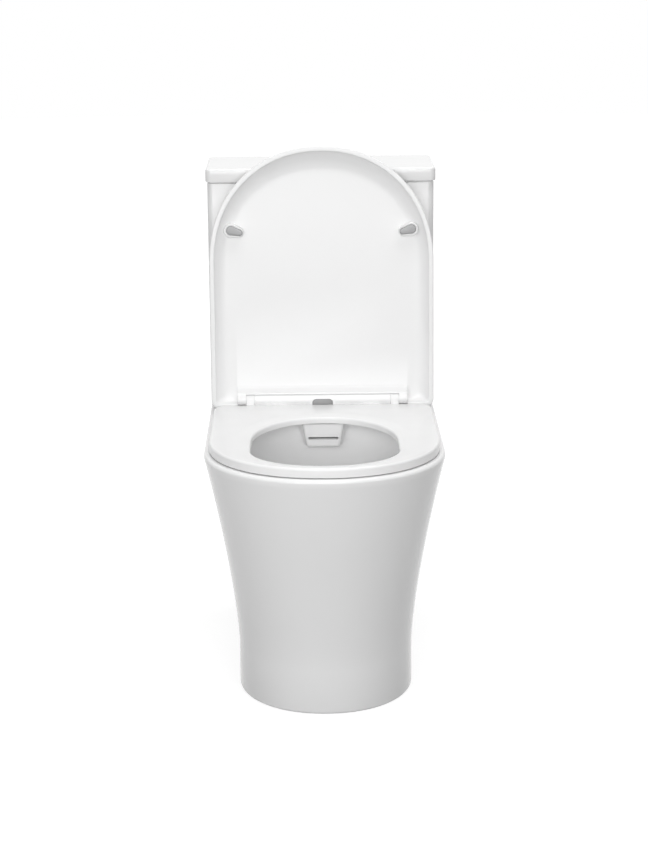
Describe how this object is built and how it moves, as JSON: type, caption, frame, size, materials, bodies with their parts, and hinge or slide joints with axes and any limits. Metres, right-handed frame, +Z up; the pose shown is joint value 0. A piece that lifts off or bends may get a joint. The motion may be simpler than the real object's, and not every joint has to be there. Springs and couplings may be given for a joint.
{
  "type": "rimless toilet",
  "caption": "Close-coupled rimless toilet with a skirted pan, lidded cistern, dual flush button and soft-close seat, cover standing open",
  "frame": {"origin": "on the floor below the middle of the object's box, 325 mm in front of the wall", "axes": "+Z up, +Y to the wall behind the toilet, +X to the right of someone facing it"},
  "size_m": [0.378, 0.65, 0.8441],
  "materials": {
    "china": "smooth white glaze",
    "seat_plastic": "dense moulded white, semi-gloss",
    "hinge_plastic": "moulded white",
    "soft_grey": "soft matt grey",
    "button_grey": "satin grey",
    "damper_grey": "satin grey",
    "steel": "bright steel",
    "brass": "turned brass",
    "black_rubber": "black rubber",
    "foam": "closed-cell foam",
    "chrome": "polished chrome",
    "valve_white": "moulded white",
    "tower_blue": "moulded pale blue",
    "canister_red": "moulded red",
    "silicone": "silicone rubber",
    "fill_blue": "moulded blue"
  },
  "bodies": {
    "pan_body": {"pan": "china", "cistern": "china", "hinge_body": "hinge_plastic", "seat_damper": "damper_grey", "cover_damper": "damper_grey", "hinge_posts": "steel", "hinge_studs": "brass", "hinge_plugs": "black_rubber", "cistern_pads": "black_rubber", "tank_gasket": "foam", "cistern_bolts": "brass", "bolt_washers": "black_rubber", "wing_nuts": "brass", "flush_valve_base": "valve_white", "flush_valve_washer": "black_rubber", "flush_valve_nut": "valve_white", "flush_tower": "tower_blue", "fill_valve_body": "valve_white", "fill_valve_head": "fill_blue", "inlet_washer": "black_rubber", "inlet_nut": "valve_white", "floor_brackets": "valve_white", "skirt_screws": "steel", "screw_caps": "hinge_plastic"},
    "seat_body": {"seat_ring": "seat_plastic", "seat_lugs": "seat_plastic", "seat_buffers": "soft_grey"},
    "cover_body": {"seat_cover": "seat_plastic", "cover_heels": "seat_plastic", "cover_ears": "seat_plastic", "cover_buffer_cups": "seat_plastic", "cover_buffer_pads": "soft_grey"},
    "release_body": {"release_button": "button_grey"},
    "lid_body": {"cistern_lid": "china", "button_bezel": "chrome", "button_nut": "valve_white", "full_button_spring": "steel", "half_button_spring": "steel"},
    "full_button_body": {"full_flush_button": "chrome", "full_push_rod": "valve_white"},
    "half_button_body": {"half_flush_button": "chrome", "half_push_rod": "valve_white"},
    "canister_body": {"flush_canister": "canister_red", "flush_seal": "silicone"},
    "float_body": {"fill_valve_float": "valve_white"}
  },
  "joints": [
    {"name": "seat_hinge", "type": "hinge", "parent": "pan_body", "child": "seat_body", "pos_m": [0, 0.101, 0.43], "axis": [-1, 0, 0], "range_deg": [0, 93]},
    {"name": "cover_hinge", "type": "hinge", "parent": "pan_body", "child": "cover_body", "pos_m": [0, 0.101, 0.43], "axis": [-1, 0, 0], "range_deg": [-94, 0]},
    {"name": "release_press", "type": "slide", "parent": "pan_body", "child": "release_body", "axis": [0, 1, 0], "range_m": [0, 0.003], "stiffness_N_per_m": 400, "springref_m": -0.002},
    {"name": "lid_lift", "type": "slide", "parent": "pan_body", "child": "lid_body", "axis": [0, 0, 1], "range_m": [0, 0.06]},
    {"name": "full_flush_press", "type": "slide", "parent": "lid_body", "child": "full_button_body", "axis": [0, 0, -1], "range_m": [0, 0.006], "stiffness_N_per_m": 500, "springref_m": -0.003, "deforming": ["full_button_spring"]},
    {"name": "half_flush_press", "type": "slide", "parent": "lid_body", "child": "half_button_body", "axis": [0, 0, -1], "range_m": [0, 0.006], "stiffness_N_per_m": 500, "springref_m": -0.003, "deforming": ["half_button_spring"]},
    {"name": "valve_lift", "type": "slide", "parent": "pan_body", "child": "canister_body", "axis": [0, 0, 1], "range_m": [0, 0.018]},
    {"name": "float_rise", "type": "slide", "parent": "pan_body", "child": "float_body", "axis": [0, 0, 1], "range_m": [0, 0.01]}
  ],
  "couplings": [
    {"joint": "valve_lift", "follows": "full_flush_press", "ratio": 3}
  ]
}
